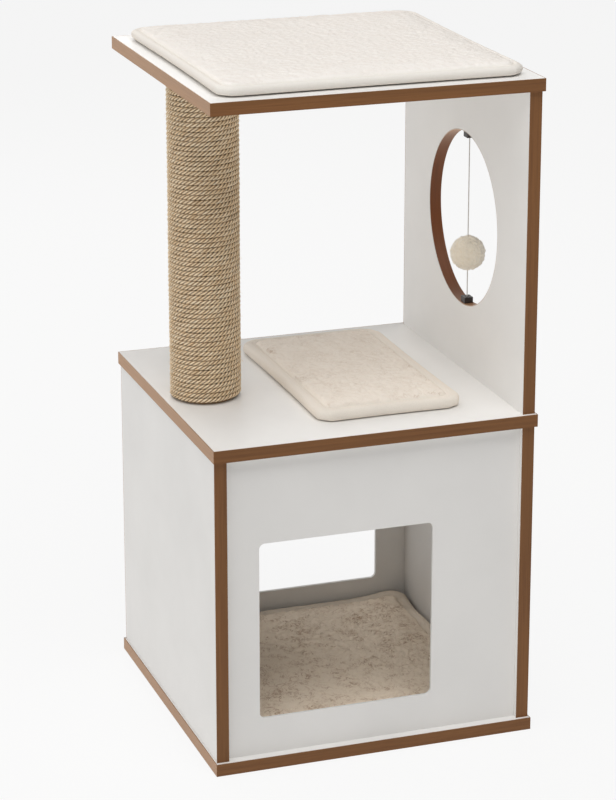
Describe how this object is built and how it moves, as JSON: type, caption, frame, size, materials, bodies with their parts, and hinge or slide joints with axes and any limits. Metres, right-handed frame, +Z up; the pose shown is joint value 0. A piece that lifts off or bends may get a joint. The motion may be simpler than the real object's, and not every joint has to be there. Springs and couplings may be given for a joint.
{
  "type": "cat condo",
  "caption": "Flat-pack cat condo: cube cave with doorway and window, resting shelf, rope-wound scratching post, panel with a round porthole and hanging ball, and a cushioned top.",
  "frame": {"origin": "centre of the base board's underside, on the floor", "axes": "+Z up, front towards -Y, +X to the right seen from the front, on the side of the upper panel"},
  "size_m": [0.4125, 0.4, 0.8249],
  "materials": {
    "white_laminate": "white melamine-faced board, satin",
    "brown_edging": "walnut-brown edge banding, satin",
    "steel": "zinc-plated steel",
    "zinc": "die-cast zinc",
    "beech": "plain beech",
    "cardboard": "wound cardboard tube",
    "sisal": "twisted natural fibre rope",
    "plush": "cream long-pile plush",
    "tape": "white hook and loop tape",
    "dark_plastic": "dark moulded plastic",
    "cord": "pale elastic cord"
  },
  "bodies": {
    "carcass": {"base_board": "white_laminate", "base_edging": "brown_edging", "left_panel": "white_laminate", "left_panel_edging": "brown_edging", "right_panel": "white_laminate", "right_panel_edging": "brown_edging", "front_panel": "white_laminate", "back_panel": "white_laminate", "mid_board": "white_laminate", "mid_edging": "brown_edging", "upper_panel": "white_laminate", "upper_panel_edging": "brown_edging", "porthole_lining": "brown_edging", "top_board": "white_laminate", "top_edging": "brown_edging", "base_screws": "steel", "upper_panel_screws": "steel", "wood_dowels": "beech", "cam_bolts": "steel", "cam_locks": "zinc", "post_tube": "cardboard", "post_plugs": "beech", "post_inserts": "zinc", "post_bolts": "steel", "post_washers": "steel", "post_rope_lower": "sisal", "post_rope_upper": "sisal", "top_hook_pads": "tape", "mid_hook_pads": "tape", "cave_hook_pads": "tape", "toy_anchor_top": "dark_plastic", "toy_anchor_bottom": "dark_plastic"},
    "top_pad": {"top_cushion": "plush", "top_loop_pads": "tape"},
    "mid_pad": {"mid_cushion": "plush", "mid_loop_pads": "tape"},
    "cave_pad": {"cave_cushion": "plush", "cave_loop_pads": "tape"},
    "toy_line": {"cord_end_knots": "cord", "toy_cord_lower": "cord"},
    "toy": {"toy_cord_upper": "cord", "toy_stop_knot": "cord", "toy_ball_core": "plush", "toy_ball_cover": "plush"}
  },
  "joints": [
    {"name": "toy_turn", "type": "hinge", "parent": "carcass", "child": "toy_line", "pos_m": [0.1905, 0, 0.6992], "axis": [0, 0, 1], "continuous": true},
    {"name": "toy_swing", "type": "hinge", "parent": "toy_line", "child": "toy", "pos_m": [0.1905, 0, 0.6992], "axis": [0, 1, 0], "range_deg": [-15, 15], "deforming": ["toy_cord_lower"]},
    {"name": "top_cushion_lift", "type": "slide", "parent": "carcass", "child": "top_pad", "axis": [0, 0, 1], "range_m": [0, 0.08]},
    {"name": "mid_cushion_lift", "type": "slide", "parent": "carcass", "child": "mid_pad", "axis": [0, 0, 1], "range_m": [0, 0.08]},
    {"name": "cave_cushion_lift", "type": "slide", "parent": "carcass", "child": "cave_pad", "axis": [0, 0, 1], "range_m": [0, 0.08]}
  ]
}
